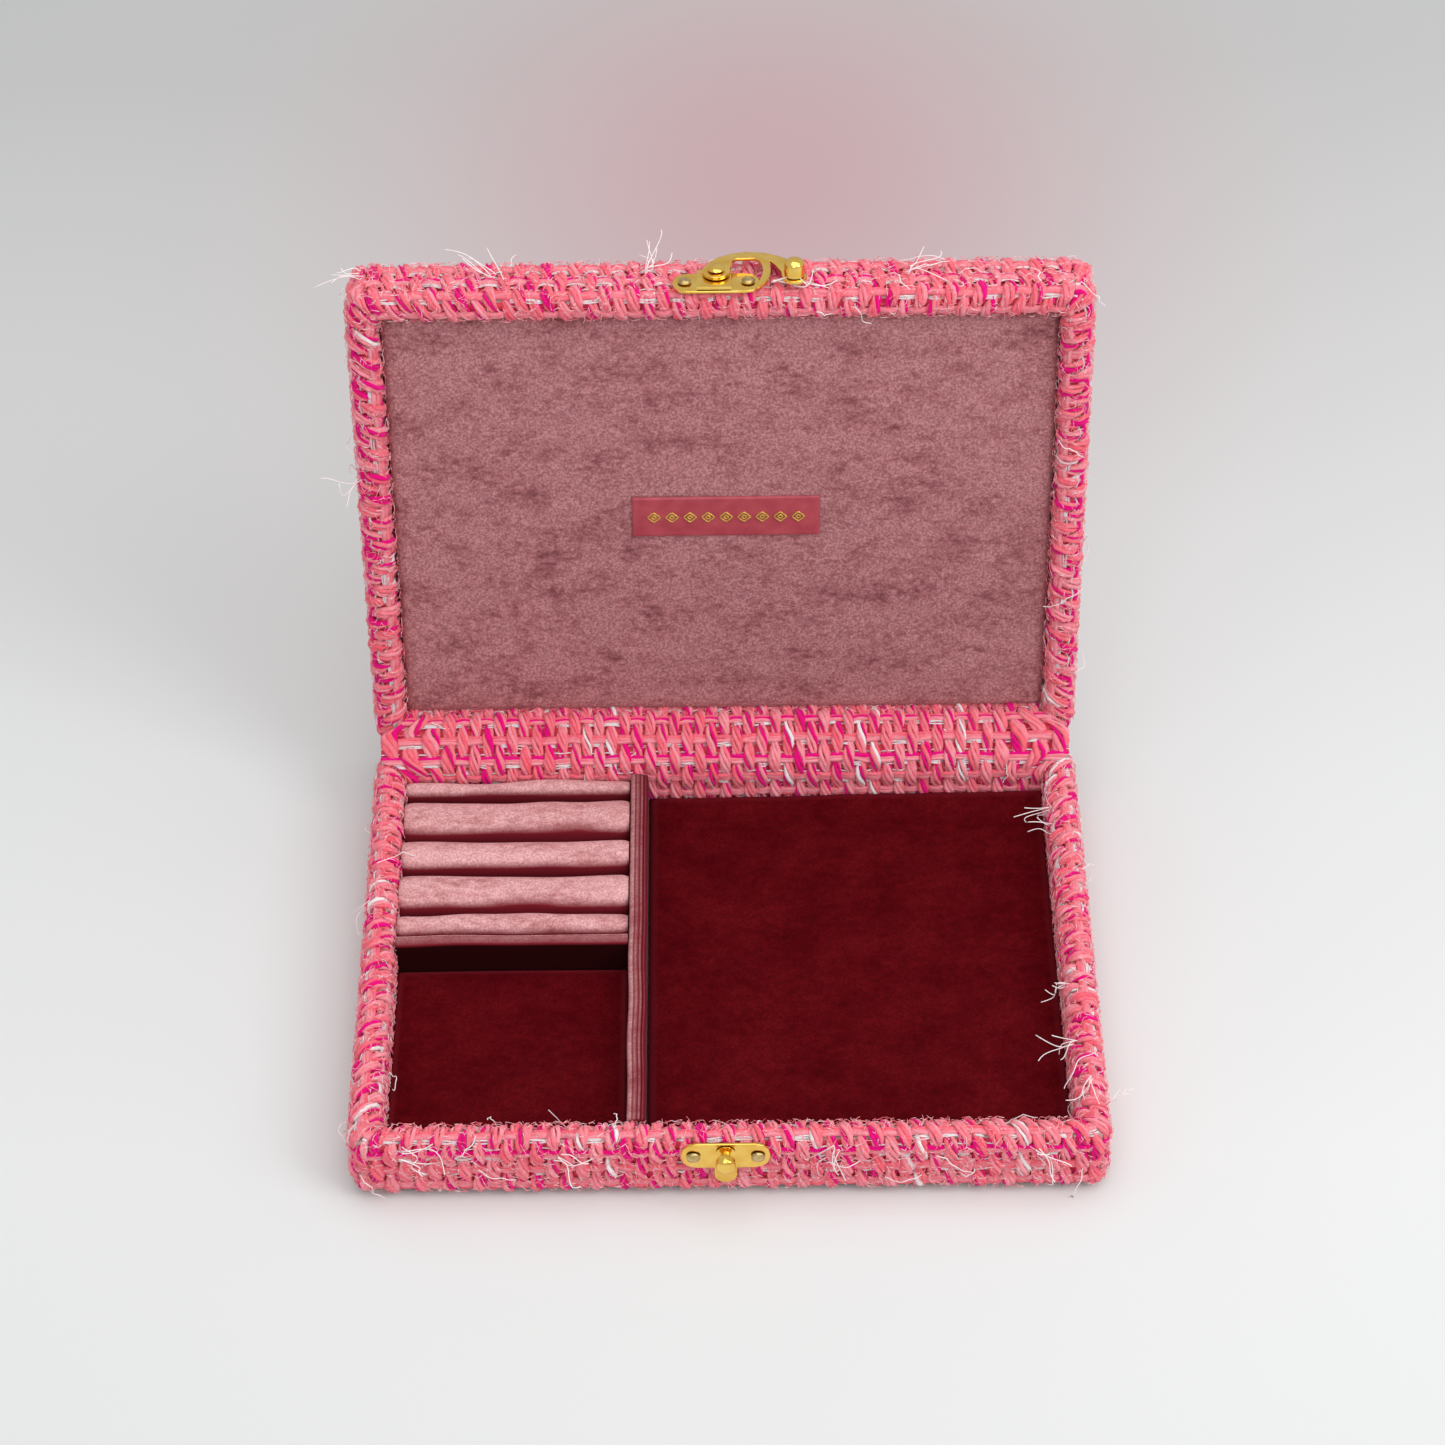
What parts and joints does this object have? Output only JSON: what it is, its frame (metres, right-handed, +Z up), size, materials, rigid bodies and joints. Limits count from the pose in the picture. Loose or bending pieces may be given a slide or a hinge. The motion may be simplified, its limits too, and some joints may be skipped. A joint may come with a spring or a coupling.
{
  "type": "jewelry box",
  "caption": "Rectangular tweed-covered jewelry box with a padded cloth-hinged lid, padded ring holder, open velvet compartments and a swing-hook latch.",
  "frame": {"origin": "centre of the tray's underside, on the felt's lower face", "axes": "+X to the right as seen from the front along the box's length, +Y from the latch side to the hinge side, +Z up"},
  "size_m": [0.2, 0.1913, 0.1797],
  "materials": {
    "tweed": "thick loosely woven coral tweed with magenta and white threads",
    "rose_velvet": "dusty rose crushed velvet",
    "dark_velvet": "burgundy velvet",
    "satin": "rose-red satin ribbon with gold stitching",
    "greyboard": "plain grey board, hidden inside the covering",
    "foam": "pale foam sheet, hidden under the ring rolls",
    "felt": "thin dark felt",
    "gold": "polished gold-coloured brass plating"
  },
  "bodies": {
    "tray": {"underside_felt": "felt", "tray_base_board": "greyboard", "tray_front_board": "greyboard", "tray_back_board": "greyboard", "tray_left_board": "greyboard", "tray_right_board": "greyboard", "tray_tweed_wrap": "tweed", "right_floor_pad": "dark_velvet", "left_floor_pad": "dark_velvet", "divider_board": "greyboard", "divider_velvet_sleeve": "rose_velvet", "cross_divider_board": "greyboard", "cross_divider_velvet_sleeve": "dark_velvet", "ring_holder_base": "foam", "ring_roll_1": "rose_velvet", "ring_roll_2": "rose_velvet", "ring_roll_3": "rose_velvet", "ring_roll_4": "rose_velvet", "ring_roll_5": "rose_velvet", "inner_hinge_strip": "tweed", "outer_hinge_cloth": "tweed", "catch_plate": "gold", "catch_nail_left": "gold", "catch_nail_right": "gold", "catch_stud": "gold"},
    "lid": {"lid_top_board": "greyboard", "lid_front_board": "greyboard", "lid_back_board": "greyboard", "lid_left_board": "greyboard", "lid_right_board": "greyboard", "lid_tweed_wrap": "tweed", "lid_lining": "rose_velvet", "lid_label": "satin", "clasp_plate": "gold", "clasp_bridge": "gold", "clasp_nail_left": "gold", "clasp_nail_right": "gold", "pivot_rivet": "gold"},
    "hook": {"clasp_hook": "gold", "hook_knob": "gold"}
  },
  "joints": [
    {"name": "lid_hinge", "type": "hinge", "parent": "tray", "child": "lid", "pos_m": [0, 0.075, 0.02215], "axis": [1, 0, 0], "range_deg": [0, 96], "deforming": ["inner_hinge_strip", "outer_hinge_cloth"]},
    {"name": "hook_pivot", "type": "hinge", "parent": "lid", "child": "hook", "pos_m": [-0.001, 0.09779, 0.17058], "axis": [0, 0.1045, 0.9945], "range_deg": [-90, 60]}
  ]
}
